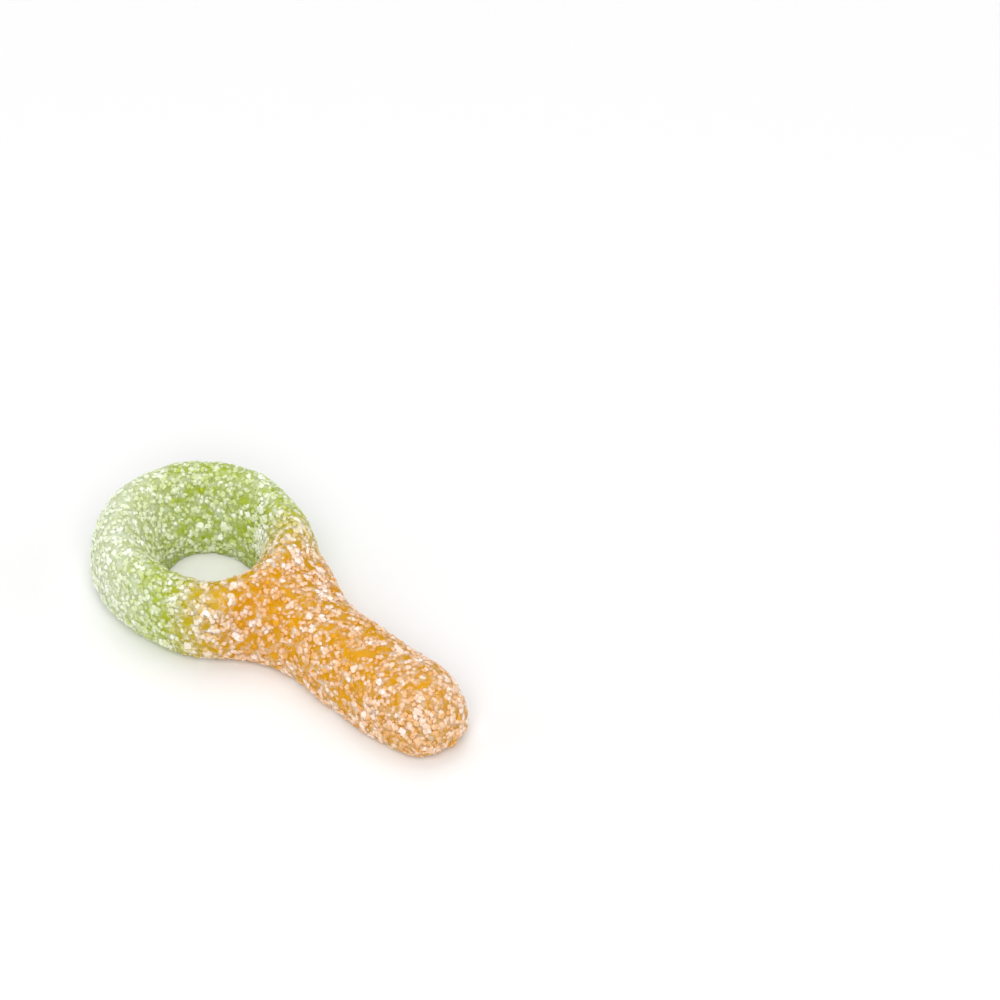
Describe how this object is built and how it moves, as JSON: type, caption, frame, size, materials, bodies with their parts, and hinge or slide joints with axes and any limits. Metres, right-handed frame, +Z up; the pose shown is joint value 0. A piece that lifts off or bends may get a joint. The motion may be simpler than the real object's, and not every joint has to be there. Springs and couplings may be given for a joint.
{
  "type": "sour gummy pacifier",
  "caption": "Sugar-coated sour gummy sweet shaped like a baby's dummy: a thick ring with a through hole and a short blunt stem, flat on the back.",
  "frame": {"origin": "middle of the bounding box, on the flat back that the sweet lies on", "axes": "+X along the stem towards its tip, +Y across, +Z up from the flat back to the rounded side"},
  "size_m": [0.0506, 0.0242, 0.0096],
  "materials": {
    "sugared_gel": "soft translucent gel, green at the ring and amber along the stem, frosted with sugar crystals"
  },
  "bodies": {
    "root": {"gummy_pacifier": "sugared_gel"}
  },
  "joints": []
}
